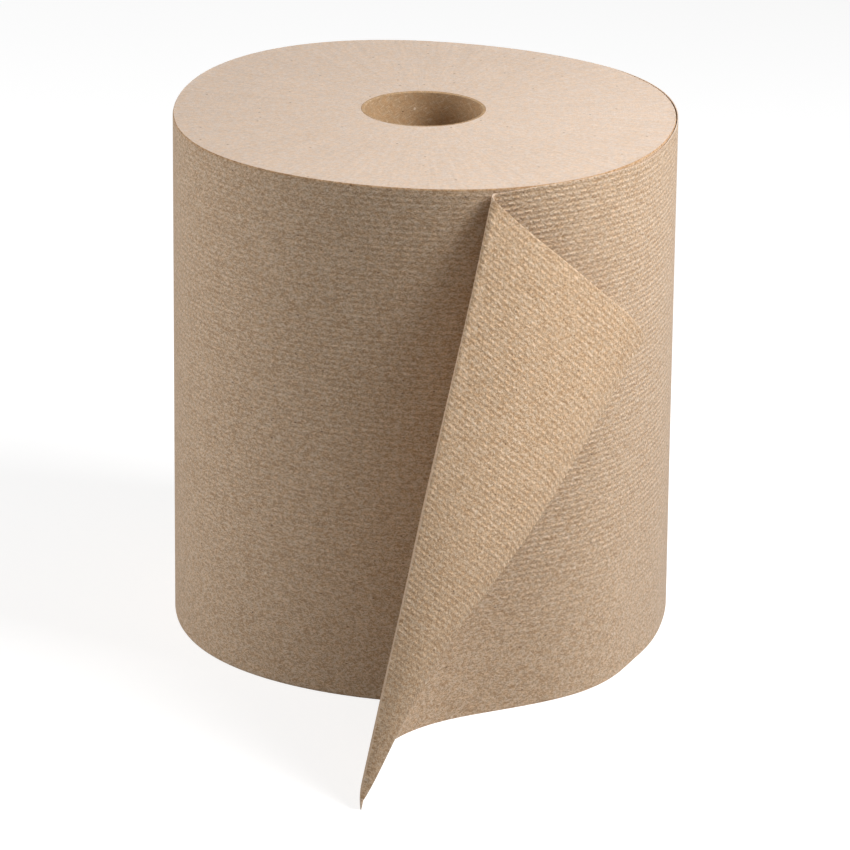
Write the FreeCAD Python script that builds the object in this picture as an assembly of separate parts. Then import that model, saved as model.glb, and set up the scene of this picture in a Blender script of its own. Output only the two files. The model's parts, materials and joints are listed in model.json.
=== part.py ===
import FreeCAD, Part
import math
import os

# A hard-wound paper hand-towel roll, standing on one end on the plane z = 0, axis along +Z.
# Two pieces: the paperboard core tube, and the towel web wound on it. The web is one long sheet,
# so the turns and the loose tail are one solid. Its last turn comes away from the wall at the
# front right, the tail sweeps forward along the floor, and its top corner is folded over.
# Lengths are millimetres. Angles are degrees about the axis, from +X towards +Y.

# The web and the roll it is wound into
WEB_WIDTH = 203.0
ROLL_RADIUS = 98.5
SHEET = 0.35
WINDING_SHIFT_Y = -3.5
OUT_OF_ROUND = ((2, -1.20, -2.45), (3, 0.60, 0.25), (4, -0.90, 1.33))

# The core tube
CORE_BORE_RADIUS = 22.5
CORE_WALL = 1.4

# Where the last turn loosens, and how far its top edge sinks below the rim there
LOOSE_ANGLE = 40.0
LOOSE_GAP = 0.4
EDGE_SINK = 1.5
SINK_ANGLE = -33.0
SINK_SPREAD = 12.0

# The tail's foot on the floor: angle, and distance out from the wall
FOOT_ON_WALL = ((26.0, 1.3), (12.0, 2.8), (0.0, 1.4), (-12.0, 0.4), (-24.0, 0.2), (-34.0, 0.4),
                (-42.6, 2.5), (-52.8, 4.7), (-64.0, 5.9))
FOOT_AT_FOLD = (-74.6, 8.7)
FOOT_TO_TIP = ((-86.5, 18.6), (-93.4, 35.5), (-96.3, 64.0), (-95.6, 98.9))

# The fold, from the top edge down to the tip
FOLD_STAND = 1.2
FOLD_SINK = 1.3
FOLD_SINK_SPREAD = 6.0
FOLD_RADIUS = 2.3
FOLD_TURN = 180.0
FOLD_TURN_AT_TIP = 75.0
FOLD_TURN_AT_RISE = 85.0
TIP_RADIUS = 0.5
TIP_RISE = 4.5

# The folded-over corner: its top edge as angle, distance out and drop below the rim
FLAP_TOP = ((-68.7, 9.0, 15.4), (-61.0, 12.5, 29.0), (-54.2, 14.5, 41.6), (-48.6, 16.0, 52.0))
FLAP_CORNER = (-44.9, 16.0, 61.6)

# Its cut end: how far it sags towards the fold, and where
CUT_SAG = 6.7
CUT_SAG_PLACE = 2.2
TIP_LAND = 0.6

# How finely the curves are sampled
OUTLINE_STEPS = 45
WALL_STATIONS = 25
SWEEP_STATIONS = 11
FOLD_STATIONS = 7
FLAP_STATIONS = 9


def roll_radius(angle):
    radius = ROLL_RADIUS
    for order, cosine, sine in OUT_OF_ROUND:
        turn = math.radians(order * angle)
        radius += cosine * math.cos(turn) + sine * math.sin(turn)
    return radius


def around(angle, stand, height):
    # A point out from the roll's wall by stand
    reach = roll_radius(angle) + stand
    turn = math.radians(angle)
    return FreeCAD.Vector(reach * math.cos(turn), WINDING_SHIFT_Y + reach * math.sin(turn), height)


def bump(angle, middle, spread):
    return math.exp(-((angle - middle) / spread) ** 2)


def unit(vector):
    return vector * (1.0 / vector.Length)


def level(vector):
    return unit(FreeCAD.Vector(vector.x, vector.y, 0))


def spline(points, parameters=None):
    curve = Part.BSplineCurve()
    if parameters:
        curve.interpolate(Points=points, Parameters=parameters)
    else:
        curve.interpolate(Points=points)
    return curve


def stepped(first, last, count):
    return [first + (last - first) * step / (count - 1) for step in range(count)]


def sampled(curve, first, last, count):
    return [curve.value(place) for place in stepped(first, last, count)]


def make_core():
    outer = Part.makeCylinder(CORE_BORE_RADIUS + CORE_WALL, WEB_WIDTH)
    bore = Part.makeCylinder(CORE_BORE_RADIUS, WEB_WIDTH)
    return outer.cut(bore)


def ruled(one, other):
    # Straight lines between two curves that share their degree and knots
    surface = Part.BSplineSurface()
    surface.buildFromPolesMultsKnots([one.getPoles(), other.getPoles()],
                                     [2, 2], one.getMultiplicities(), [0.0, 1.0], one.getKnots(),
                                     False, False, 1, one.Degree)
    return surface.toShape()


def winding_faces():
    # The outline is a spiral over its last turn, so it ends in a step one sheet high. The step
    # itself stays open, because the tail leaves from it.
    rise = FreeCAD.Vector(0, 0, WEB_WIDTH)
    points = []
    for step in range(OUTLINE_STEPS + 1):
        share = step / OUTLINE_STEPS
        points.append(around(LOOSE_ANGLE - 360.0 * share, SHEET * (share - 1.0), 0.0))
    foot = spline(points)
    rim = spline([point + rise for point in points])
    faces = [ruled(rim, foot)]
    seat = Part.makeCircle(CORE_BORE_RADIUS + CORE_WALL)
    for outline, lift in ((foot, FreeCAD.Vector()), (rim, rise)):
        step_edge = Part.makeLine(outline.EndPoint, outline.StartPoint)
        hole = Part.Wire(seat.translated(lift))
        border = Part.Wire([outline.toShape(), step_edge])
        faces.append(Part.Face([border, hole]))
    faces.append(seat.extrude(rise))
    return faces


def foot_curve():
    # The middle of the sheet's thickness along its bottom edge, from the step to the tip
    middle = -SHEET / 2.0
    plan = [(LOOSE_ANGLE, 0.0)] + list(FOOT_ON_WALL) + [FOOT_AT_FOLD] + list(FOOT_TO_TIP)
    return spline([around(angle, stand + middle, 0.0) for angle, stand in plan])


def top_on_wall(foot, share):
    # The top edge keeps to the wall above its foot, and sinks a little under the rim
    angle = math.degrees(math.atan2(foot.y - WINDING_SHIFT_Y, foot.x))
    sink = EDGE_SINK * bump(angle, SINK_ANGLE, SINK_SPREAD)
    sink += FOLD_SINK * bump(angle, FOOT_AT_FOLD[0], FOLD_SINK_SPREAD)
    stand = LOOSE_GAP * (1.0 - (1.0 - share) ** 4) + (FOLD_STAND - LOOSE_GAP) * share ** 8
    if share == 0.0:
        sink = 0.0
    return around(angle, stand - SHEET / 2.0, WEB_WIDTH - sink)


class Fold:
    # The turn that the top edge makes at the head of the fold
    def __init__(self, start, before):
        self.start = start
        self.forward = level(start - before)
        self.outward = FreeCAD.Vector(-self.forward.y, self.forward.x, 0.0)

    def turned(self, turn_degrees, radius):
        turn = math.radians(turn_degrees)
        along = self.forward * (radius * math.sin(turn))
        return along + self.outward * (radius * (1.0 - math.cos(turn)))

    def head(self, turn_degrees):
        turn = math.radians(turn_degrees)
        fall = FreeCAD.Vector(0, 0, FOLD_RADIUS * (turn - math.sin(turn)) / 2.0)
        return self.start + self.turned(turn_degrees, FOLD_RADIUS) - fall

    def heads(self, first, last, count):
        return [self.head(turn) for turn in stepped(first, last, count)]


def normals(rail, across):
    # Outward unit normals along a rail of the sheet, given the direction across the sheet
    found = []
    for place in range(len(rail)):
        ahead = rail[min(place + 1, len(rail) - 1)]
        behind = rail[max(place - 1, 0)]
        found.append(unit(across[place].cross(ahead - behind)))
    return found


def shifted(rail, directions, distance):
    return [point + direction * distance for point, direction in zip(rail, directions)]


def tail_bands():
    # The middle of the sheet from the step to the end of the fold, as stretches that share their
    # end stations. Each is a top and a bottom rail.
    foot = foot_curve()
    corner = foot.parameter(around(FOOT_AT_FOLD[0], FOOT_AT_FOLD[1] - SHEET / 2.0, 0.0))

    # On the wall, where the top edge keeps to the roll
    wall_foot = sampled(foot, foot.FirstParameter, corner, WALL_STATIONS)
    shares = [place / (WALL_STATIONS - 1) for place in range(WALL_STATIONS)]
    wall_top = [top_on_wall(point, share) for point, share in zip(wall_foot, shares)]
    fold = Fold(wall_top[-1], wall_top[-2])

    # Sweeping forward to the tip, while the top edge turns at the head of the fold
    sweep_foot = sampled(foot, corner, foot.LastParameter, SWEEP_STATIONS)
    sweep_top = fold.heads(0.0, FOLD_TURN_AT_TIP, SWEEP_STATIONS)

    # Up the cut end from the corner on the floor to the foot of the fold
    land = sweep_foot[-1]
    fold_foot = land + FreeCAD.Vector(0, 0, TIP_RISE)
    rise_foot = [land, fold_foot]
    rise_top = fold.heads(FOLD_TURN_AT_TIP, FOLD_TURN_AT_RISE, len(rise_foot))

    # Round the fold itself, wide at its head and tight at its foot
    turns = stepped(FOLD_TURN_AT_RISE, FOLD_TURN, FOLD_STATIONS)
    begun = fold.turned(turns[0], TIP_RADIUS)
    round_foot = [fold_foot + fold.turned(turn, TIP_RADIUS) - begun for turn in turns]
    round_top = fold.heads(FOLD_TURN_AT_RISE, FOLD_TURN, FOLD_STATIONS)
    return [(wall_top, wall_foot), (sweep_top, sweep_foot), (rise_top, rise_foot),
            (round_top, round_foot)]


def between_stations(curve, count):
    # The curve cut at its stations, which lie at whole parameters
    stretches = []
    for place in range(count - 1):
        stretch = curve.copy()
        stretch.segment(float(place), float(place + 1))
        stretches.append(stretch)
    return stretches


def band_faces(top, bottom, outward_top, outward_bottom):
    # The two faces and the two thin edges of the sheet, cut at every station along a stretch
    parameters = [float(place) for place in range(len(top))]
    curves = []
    for rail, outward in ((top, outward_top), (bottom, outward_bottom)):
        for side in (SHEET / 2.0, -SHEET / 2.0):
            curve = spline(shifted(rail, outward, side), parameters)
            curves.append(between_stations(curve, len(rail)))
    faces = []
    for top_out, top_in, bottom_out, bottom_in in zip(*curves):
        faces += [ruled(top_out, bottom_out), ruled(top_in, bottom_in)]
        faces += [ruled(top_out, top_in), ruled(bottom_out, bottom_in)]
    return faces


def flap_grid(head, foot):
    # The folded corner's middle surface, blended between its top edge, cut end, fold and tip
    edge = [head]
    for angle, stand, drop in FLAP_TOP + (FLAP_CORNER,):
        edge.append(around(angle, stand, WEB_WIDTH - drop))
    top_edge = spline(edge)
    top_points = sampled(top_edge, top_edge.FirstParameter, top_edge.LastParameter, FLAP_STATIONS)
    corner = top_points[-1]
    tip = foot + unit(top_points[1] - head) * TIP_LAND
    along = unit(tip - corner)
    inward = head - corner
    inward = unit(inward - along * inward.dot(along))
    grid = []
    for row in range(FLAP_STATIONS):
        down = row / (FLAP_STATIONS - 1)
        sag = CUT_SAG * math.sin(math.pi * down ** CUT_SAG_PLACE) ** 1.5
        fold_side = head * (1.0 - down) + foot * down
        cut_side = corner * (1.0 - down) + tip * down + inward * sag
        line = []
        for column in range(FLAP_STATIONS):
            over = column / (FLAP_STATIONS - 1)
            across = fold_side * (1.0 - over) + cut_side * over
            bow = top_points[column] - (head * (1.0 - over) + corner * over)
            line.append(across + bow * (1.0 - down))
        grid.append(line)
    return grid


def flap_directions(grid, head_outward, foot_outward):
    # Outward directions over the folded corner. Its fold side keeps the ones of the fold.
    last = FLAP_STATIONS - 1
    directions = []
    for row in range(FLAP_STATIONS):
        down = row / last
        line = [head_outward * (1.0 - down) + foot_outward * down]
        for column in range(1, FLAP_STATIONS):
            upward = grid[max(row - 1, 0)][column] - grid[min(row + 1, last)][column]
            onward = grid[row][min(column + 1, last)] - grid[row][column - 1]
            line.append(foot_outward if row == last else unit(upward.cross(onward)))
        directions.append(line)
    return directions


def surface_through(grid, directions, distance):
    surface = Part.BSplineSurface()
    surface.interpolate([shifted(line, ways, distance) for line, ways in zip(grid, directions)])
    return surface


def flap_faces(grid, directions):
    # Both faces of the folded corner, and its three free edges: top, cut end and tip
    sides = [surface_through(grid, directions, side) for side in (SHEET / 2.0, -SHEET / 2.0)]
    faces = [surface.toShape() for surface in sides]
    first_row, last_row, first_column, last_column = sides[0].bounds()
    borders = [[surface.uIso(first_row).toShape() for surface in sides],
               [surface.uIso(last_row).toShape() for surface in sides],
               [surface.vIso(last_column).toShape() for surface in sides]]
    for one, other in borders:
        faces.append(Part.makeRuledSurface(one, other))
    return faces


def tail_faces():
    bands = tail_bands()
    turn = math.radians(LOOSE_ANGLE)
    meeting_top = FreeCAD.Vector(math.cos(turn), math.sin(turn), 0)
    meeting_bottom = meeting_top
    faces = []
    for top, bottom in bands:
        across = [upper - lower for upper, lower in zip(top, bottom)]
        outward_top = normals(top, across)
        on_floor = bottom[-1].z == 0.0
        if on_floor:
            outward_bottom = [level(way) for way in normals(bottom, across)]
        else:
            outward_bottom = list(outward_top)
        outward_top[0], outward_bottom[0] = meeting_top, meeting_bottom
        faces += band_faces(top, bottom, outward_top, outward_bottom)
        meeting_top, meeting_bottom = outward_top[-1], outward_bottom[-1]
    grid = flap_grid(top[-1], bottom[-1])
    faces += flap_faces(grid, flap_directions(grid, meeting_top, meeting_bottom))
    return faces


def make_towel():
    # One closed skin round the wound turns and the tail that leaves them at the step
    skin = Part.makeCompound(winding_faces() + tail_faces())
    skin.sewShape()
    return Part.Solid(skin.Shells[0])


os.makedirs("parts", exist_ok=True)
make_core().exportStep("parts/core_tube.step")
make_towel().exportStep("parts/wound_towel.step")
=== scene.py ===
"""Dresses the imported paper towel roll: its wound web with a loose, folded tail, and its core."""

import json
import math

import bpy
import numpy as np
from bpy.props import FloatProperty, FloatVectorProperty, IntProperty, PointerProperty
from mathutils import Matrix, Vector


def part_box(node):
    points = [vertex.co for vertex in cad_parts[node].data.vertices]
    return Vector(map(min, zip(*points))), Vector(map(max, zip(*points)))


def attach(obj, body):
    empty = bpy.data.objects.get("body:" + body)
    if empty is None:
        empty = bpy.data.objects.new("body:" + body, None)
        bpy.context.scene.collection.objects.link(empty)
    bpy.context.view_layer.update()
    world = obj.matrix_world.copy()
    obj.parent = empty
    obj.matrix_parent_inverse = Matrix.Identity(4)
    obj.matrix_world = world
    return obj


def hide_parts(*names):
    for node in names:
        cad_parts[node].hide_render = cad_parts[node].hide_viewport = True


bl_info = {
    "name": "Hard-Wound Paper Towel Roll",
    "version": (1, 0, 0),
    "blender": (4, 5, 0),
    "location": "View3D > Sidebar > Towel Roll",
    "description": "A kraft paper towel roll on its core, with a loose tail and a folded corner",
    "category": "Add Mesh",
}

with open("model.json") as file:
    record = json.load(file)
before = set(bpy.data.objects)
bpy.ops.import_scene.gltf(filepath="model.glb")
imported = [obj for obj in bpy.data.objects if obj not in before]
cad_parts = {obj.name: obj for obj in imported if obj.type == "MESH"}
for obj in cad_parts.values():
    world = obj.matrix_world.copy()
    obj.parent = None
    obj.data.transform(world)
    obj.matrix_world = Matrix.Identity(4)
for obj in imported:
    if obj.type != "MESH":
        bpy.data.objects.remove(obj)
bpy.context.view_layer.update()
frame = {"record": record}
TUBE_LOW, TUBE_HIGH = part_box("core_tube")
BORE_MOUNT = next(m for m in frame["record"]["mounts"] if m["name"] == "core_bore")
BORE_RADIUS = BORE_MOUNT["dims"]["r_mm"] / 1000.0

# The wound outline: its centre off the core's axis, and its waves as (order, cosine, sine)
WINDING_SHIFT_Y = -0.0035
OUT_OF_ROUND = ((2, -0.00120, -0.00245), (3, 0.00060, 0.00025), (4, -0.00090, 0.00133))

# The loosened turn: where it starts, its gap from the wall, and how its top edge sinks
LOOSE_ANGLE = 40.0
LOOSE_GAP = 0.0004
EDGE_SINK = 0.0015
SINK_ANGLE = -33.0
SINK_SPREAD = 12.0

# The tail's foot on the floor: angle, and distance out from the wall
FOOT_ON_WALL = (
    (26.0, 0.0013), (12.0, 0.0028), (0.0, 0.0014), (-12.0, 0.0004), (-24.0, 0.0002),
    (-34.0, 0.0004), (-42.6, 0.0025), (-52.8, 0.0047), (-64.0, 0.0059),
)
FOOT_AT_FOLD = (-74.6, 0.0087)
FOOT_TO_TIP = ((-86.5, 0.0186), (-93.4, 0.0355), (-96.3, 0.0640), (-95.6, 0.0989))

# The fold, from the top edge down to the tip
FOLD_STAND = 0.0012
FOLD_SINK = 0.0013
FOLD_SINK_SPREAD = 6.0
FOLD_RADIUS = 0.0023
FOLD_TURN = 163.0
FOLD_TURN_AT_TIP = 75.0
FOLD_TURN_AT_RISE = 85.0
TIP_RADIUS = 0.0005
TIP_RISE = 0.0045

# The folded-over corner: its top edge as angle, distance out and drop below the rim
FLAP_TOP = (
    (-68.7, 0.0090, 0.0154), (-61.0, 0.0125, 0.0290),
    (-54.2, 0.0145, 0.0416), (-48.6, 0.0160, 0.0520),
)
FLAP_CORNER = (-44.9, 0.0160, 0.0616)

# Its cut end: how far it sags towards the fold, and where
CUT_SAG = 0.0067
CUT_SAG_PLACE = 2.2
TIP_LAND = 0.0006

# Lines of points in each stretch of the sheet
WALL_LINES = 120
SWEEP_LINES = 90
RISE_LINES = 6
ROUND_LINES = 28
FLAP_LINES = 70

# How far back the fold's head is aimed from, and how soon past the fold the sheet is free
HEAD_STEP_BACK = 1.0 / 24.0
FREE_AFTER = 0.03

# The soft waves in the free part of the tail: their size along the web and across it
TAIL_WAVE = (0.055, 0.09)
TAIL_WAVE_SEED = 21

# The rows of points down the web: places near an edge, and where the even rows start
EDGE_ROWS = (0.0, 0.0003, 0.0009)
EVEN_ROWS_FROM = 0.002

# The rim: how far down it is rounded, and how far round from the step the rounding comes in
RIM_REACH = 0.0009
RIM_FADE = 6.0

# The wound ends: rings of points from the rim in to the core, and their waves
END_RINGS = (0.0, 0.012, 0.03)
EVEN_RINGS_FROM = 0.06
EVEN_RINGS = 30
END_WAVE = 0.06
RING_WAVE = 0.0031
RING_WAVE_SHARE = 0.5
RING_DRIFT = 0.02
END_MEAN_DIP = 0.5
END_WAVE_SHARE = 0.22
END_WAVE_LIMIT = 2.2
TOP_SEED = 4
FOOT_SEED = 9

# The core tube: its softened edges, its points, and the seam of its inner ply
TUBE_EASE = 0.00025
TUBE_ROWS = 60
TUBE_STEPS = 144
SEAM_PITCH = 0.095
SEAM_SPREAD = 0.012
SEAM_DEPTH = 0.0003

# Tints that the colours are multiplied by
BROWN_TINT = (0.74, 0.67, 0.58, 1.0)
PALE_TINT = (1.24, 1.30, 1.40, 1.0)
WARM_TINT = (1.03, 0.99, 0.93, 1.0)
COOL_TINT = (0.98, 1.01, 1.04, 1.0)
# The crease tint darkens and browns the creases of the embossed dashes as painted shade
CREASE_PAINTED_SHADE_TINT = (0.76, 0.66, 0.54, 1.0)
RIM_TINT = (0.88, 0.76, 0.62, 1.0)

# Grains of the paper, as how many there are to a metre along the web and across it
STROKES = (1150.0, 2300.0, 1.0)
GRAINS = (3300.0, 2700.0, 1.0)
LAID = (330.0, 900.0, 500.0)
CLOUDS = 110.0
HUES = 420.0
TOOTH = 1500.0

# Loose fibres: their colour, how strongly they show, and their strokes as (heading, how many to a
# metre, level of the noise that shows as a fibre)
LOOSE_FIBRES = (
    ("Light", 0.55, ((0.5, (260.0, 1900.0, 260.0), 0.61), (-0.9, (300.0, 2100.0, 300.0), 0.62))),
    ("Dark", 0.34, ((1.2, (330.0, 2600.0, 330.0), 0.63), (-0.3, (280.0, 2300.0, 280.0), 0.64))),
)
FIBRE_EDGE = 0.08

# Specks: their colour, how strongly they show, how many cells there are to a metre, their size as
# a share of a cell, and the share of the cells that have one
SPECKS = (
    ("Dark", 0.80, (95.0, 160.0, 1.0), 0.055, 0.16),
    ("Light", 0.75, (78.0, 60.0, 1.0), 0.045, 0.10),
)

# Embossed dashes: their soft edges as shares of the pitches out from the middle, their wander
# and wear, and where on the flat sheet they are firm
RIDGE_EDGE = (0.03, 0.29)
CREASE_EDGE = (0.27, 0.44)
DASH_END = (0.27, 0.45)
ROW_WANDER = 0.0008
ROW_SWAYS = 160.0
SWAY_ALONG = 1.6
WORN_PATCHES = (260.0, 420.0, 500.0)
PRESS_PATCHES = 28.0
WOUND_PRESS = 0.6
LOOSE_FROM = (-0.02, 0.01)
ROWS_FADE_IN = (0.015, 0.085)
# How far up from the foot of the flat sheet the painted shade reaches, from where it is full to
# where it ends
TIP_PAINTED_SHADE_REACH = (0.02, 0.15)
OUTER_PRESS = 0.9
INNER_PRESS = 0.75
# How dark the painted shade makes the inner face at its foot and at the folded corner's tip
INNER_TIP_PAINTED_SHADE = 0.78
RIM_LINE = (0.0012, 0.0002)

# The wound ends and the board: how many streaks and rings there are, and how deep the grain is
STREAKS_ROUND = 60.0
STREAKS_OUT = 22.0
RINGS_ROUND = 3.0
RINGS_OUT = 2600.0
END_GRAIN_DEPTH = 0.00012
BOARD_GRAIN_DEPTH = 0.00008

# The stage: lamps with their places and sizes, and the floor
STAGE_MIDDLE = (0.0, 0.0, 0.1)
KEY_PLACE = (0.60, -0.24, 0.72)
KEY_SIZE = 0.40
FILL_PLACE = (-1.8, 0.0, 0.8)
FILL_SIZE = 1.2
FLOOR_REACH = 6.0
FLOOR_GREY = 0.50

# The photograph's camera
CAMERA_PLACE = (0.0, -1.823309, 0.746525)
CAMERA_PITCH = 0.3534
CAMERA_YAW = 0.0012
CAMERA_ROLL = 0.0134
CAMERA_LENS = 210.19

OUTER_FACE, INNER_FACE, WOUND_END, CUT_EDGE = 0, 1, 2, 3


class TowelSizes(bpy.types.PropertyGroup):
    """Sizes of the roll and its core."""

    web_width: FloatProperty(
        name="Web width", description="Height of the standing roll",
        default=TUBE_HIGH.z, min=0.05, unit="LENGTH",
    )
    roll_radius: FloatProperty(
        name="Roll radius", description="Mean radius of the wound web",
        default=0.0985, min=0.03, unit="LENGTH",
    )
    sheet: FloatProperty(
        name="Sheet", description="Thickness of the web in its loose tail",
        default=0.00035, min=0.00005, unit="LENGTH", precision=5,
    )
    seat_radius: FloatProperty(
        name="Seat radius", description="Radius of the hole in the wound web that the core fills",
        default=TUBE_HIGH.x, min=0.01, unit="LENGTH",
    )
    bore_radius: FloatProperty(
        name="Bore radius", description="Inner radius of the core tube",
        default=BORE_RADIUS, min=0.005, unit="LENGTH",
    )
    rim_rounding: FloatProperty(
        name="Rim rounding", description="How far the wall's ends turn in at the rim",
        default=0.00035, min=0.0, unit="LENGTH", precision=5,
    )
    end_unevenness: FloatProperty(
        name="End unevenness", description="Depth of the shallow waves in the wound ends",
        default=0.00035, min=0.0, unit="LENGTH", precision=5,
    )
    tail_waves: FloatProperty(
        name="Tail waves", description="Depth of the soft waves in the free part of the tail",
        default=0.0004, min=0.0, unit="LENGTH", precision=5,
    )
    corner_belly: FloatProperty(
        name="Corner belly", description="How far the folded-over corner bellies out",
        default=0.0007, min=0.0, unit="LENGTH", precision=5,
    )
    cut_end_lift: FloatProperty(
        name="Cut end lift", description="How far the folded-over cut end stands off the tail",
        default=0.0036, min=0.0, unit="LENGTH", precision=5,
    )
    around_steps: IntProperty(
        name="Steps around", description="Points around the wound outline", default=288, min=48,
    )
    web_steps: IntProperty(
        name="Steps across", description="Points across the web", default=80, min=12,
    )


class TowelFinish(bpy.types.PropertyGroup):
    """Colours of the paper and board, and the size of the embossed dashes."""

    paper: FloatVectorProperty(
        name="Paper", description="The web's unbleached outer face", subtype="COLOR", size=4,
        default=(0.556, 0.398, 0.265, 1.0), min=0.0, max=1.0,
    )
    paper_inside: FloatVectorProperty(
        name="Paper inside", description="The web's warmer inner face", subtype="COLOR", size=4,
        default=(0.590, 0.412, 0.262, 1.0), min=0.0, max=1.0,
    )
    wound_end: FloatVectorProperty(
        name="Wound end", description="The cut ends of the turns", subtype="COLOR", size=4,
        default=(0.700, 0.558, 0.450, 1.0), min=0.0, max=1.0,
    )
    board: FloatVectorProperty(
        name="Core board", description="The core's paperboard", subtype="COLOR", size=4,
        default=(0.462, 0.302, 0.168, 1.0), min=0.0, max=1.0,
    )
    dark_fibre: FloatVectorProperty(
        name="Dark fibre", description="Scattered dark fibres and specks", subtype="COLOR", size=4,
        default=(0.150, 0.085, 0.045, 1.0), min=0.0, max=1.0,
    )
    light_fibre: FloatVectorProperty(
        name="Light fibre", description="Scattered pale fibres", subtype="COLOR", size=4,
        default=(0.780, 0.640, 0.490, 1.0), min=0.0, max=1.0,
    )
    row_pitch: FloatProperty(
        name="Row pitch", description="Distance between rows of embossed dashes",
        default=0.0021, min=0.0005, unit="LENGTH", precision=5,
    )
    dash_pitch: FloatProperty(
        name="Dash pitch", description="Distance between dashes along a row",
        default=0.0034, min=0.0005, unit="LENGTH", precision=5,
    )
    emboss_depth: FloatProperty(
        name="Emboss depth", description="Depth of the embossed dashes",
        default=0.00017, min=0.0, unit="LENGTH", precision=5,
    )


class TowelStage(bpy.types.PropertyGroup):
    """Light levels of the plain stage."""

    key_power: FloatProperty(
        name="Key power", description="Soft lamp at the right, above", default=8.8,
        min=0.0, unit="POWER",
    )
    fill_power: FloatProperty(
        name="Fill power", description="Weak soft lamp at the left", default=23.0,
        min=0.0, unit="POWER",
    )
    sky_level: FloatProperty(
        name="Sky level", description="Even light from all round", default=0.155, min=0.0,
    )
    floor_lift: FloatProperty(
        name="Floor lift", description="Brightness added to the floor where it is seen directly",
        default=0.71, min=0.0,
    )


class SmoothCurve:
    """A smooth curve through points, measured by the distances between them."""

    def __init__(self, points):
        self.points = np.array(points, float)
        steps = np.diff(self.points, axis=0)
        lengths = np.linalg.norm(steps, axis=1)
        self.knots = np.concatenate([[0.0], np.cumsum(lengths)])
        chords = steps / lengths[:, None]
        count = len(self.points)
        rows = np.eye(count)
        wanted = np.zeros((count, 3))
        wanted[0] = self.end_slope(slice(0, 4), self.knots[0])
        wanted[-1] = self.end_slope(slice(count - 4, count), self.knots[-1])
        for place in range(1, count - 1):
            before, after = lengths[place - 1], lengths[place]
            rows[place, place - 1:place + 2] = (after, 2.0 * (before + after), before)
            wanted[place] = 3.0 * (after * chords[place - 1] + before * chords[place])
        self.slopes = np.linalg.solve(rows, wanted)

    def end_slope(self, part, knot):
        """The slope at an end, from the cubic through the four points nearest to it."""
        cubic = np.polyfit(self.knots[part], self.points[part], 3)
        return 3.0 * cubic[0] * knot ** 2 + 2.0 * cubic[1] * knot + cubic[2]

    def at(self, places):
        """Points at distances along the chords."""
        places = np.atleast_1d(places)
        last = len(self.knots) - 2
        piece = np.clip(np.searchsorted(self.knots, places, side="right") - 1, 0, last)
        step = (self.knots[piece + 1] - self.knots[piece])[:, None]
        share = (places - self.knots[piece])[:, None] / step
        one, other = self.points[piece], self.points[piece + 1]
        slope, next_slope = self.slopes[piece] * step, self.slopes[piece + 1] * step
        return (
            one * (2.0 * share ** 3 - 3.0 * share ** 2 + 1.0)
            + slope * (share ** 3 - 2.0 * share ** 2 + share)
            + other * (3.0 * share ** 2 - 2.0 * share ** 3)
            + next_slope * (share ** 3 - share ** 2)
        )


class Wall:
    """The wound outline, and places on it and out from it."""

    def __init__(self, sizes):
        self.mean = sizes.roll_radius

    def radius(self, angle):
        """The wall's distance from the outline's centre."""
        turn = np.radians(angle)
        waves = sum(c * np.cos(n * turn) + s * np.sin(n * turn) for n, c, s in OUT_OF_ROUND)
        return self.mean + waves

    def around(self, angle, stand, height):
        """Points that stand out from the wall."""
        angle = np.asarray(angle, float)
        reach = self.radius(angle) + stand
        turn = np.radians(angle)
        height = np.broadcast_to(height, turn.shape)
        return np.stack(
            [reach * np.cos(turn), WINDING_SHIFT_Y + reach * np.sin(turn), height], axis=-1
        )


def bump_at(angle, middle, spread):
    """A soft hump over an angle."""
    return np.exp(-((angle - middle) / spread) ** 2)


def lengths_along(points):
    """The running length of a line of points."""
    steps = np.linalg.norm(np.diff(points, axis=0), axis=1)
    return np.concatenate([[0.0], np.cumsum(steps)])


def flat_places(along, up):
    """Places on the sheet laid flat, from distances along the web and up across it."""
    return np.stack(np.broadcast_arrays(along, up), axis=-1)


def smooth_share(share):
    """A share held between 0 and 1, with soft ends."""
    share = np.clip(share, 0.0, 1.0)
    return share ** 2 * (3.0 - 2.0 * share)


def soft_noise(across, along, seed, waves=9):
    """A smooth field between about -1 and 1, made of a few waves in mixed directions."""
    choice = np.random.default_rng(seed)
    field = np.zeros(np.broadcast(across, along).shape)
    for _ in range(waves):
        heading = choice.uniform(0.0, math.tau)
        reach = choice.uniform(0.5, 1.6)
        start = choice.uniform(0.0, math.tau)
        way = across * math.cos(heading) + along * math.sin(heading)
        field += np.sin(math.tau * reach * way + start)
    return field / math.sqrt(waves)


class FoldHead:
    """The turn that the top edge makes at the head of the fold."""

    def __init__(self, start, before):
        self.start = start
        ahead = (start - before) * (1.0, 1.0, 0.0)
        self.forward = ahead / np.linalg.norm(ahead)
        self.outward = np.array([-self.forward[1], self.forward[0], 0.0])

    def turned(self, degrees, radius):
        """Offsets round an arc of this radius."""
        turn = np.radians(np.atleast_1d(degrees))[:, None]
        return self.forward * radius * np.sin(turn) + self.outward * radius * (1.0 - np.cos(turn))

    def heads(self, degrees):
        """Points of the top edge as it turns over and falls."""
        turn = np.radians(np.atleast_1d(degrees))
        fall = np.zeros((len(turn), 3))
        fall[:, 2] = FOLD_RADIUS * (turn - np.sin(turn)) / 2.0
        return self.start + self.turned(degrees, FOLD_RADIUS) - fall


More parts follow.
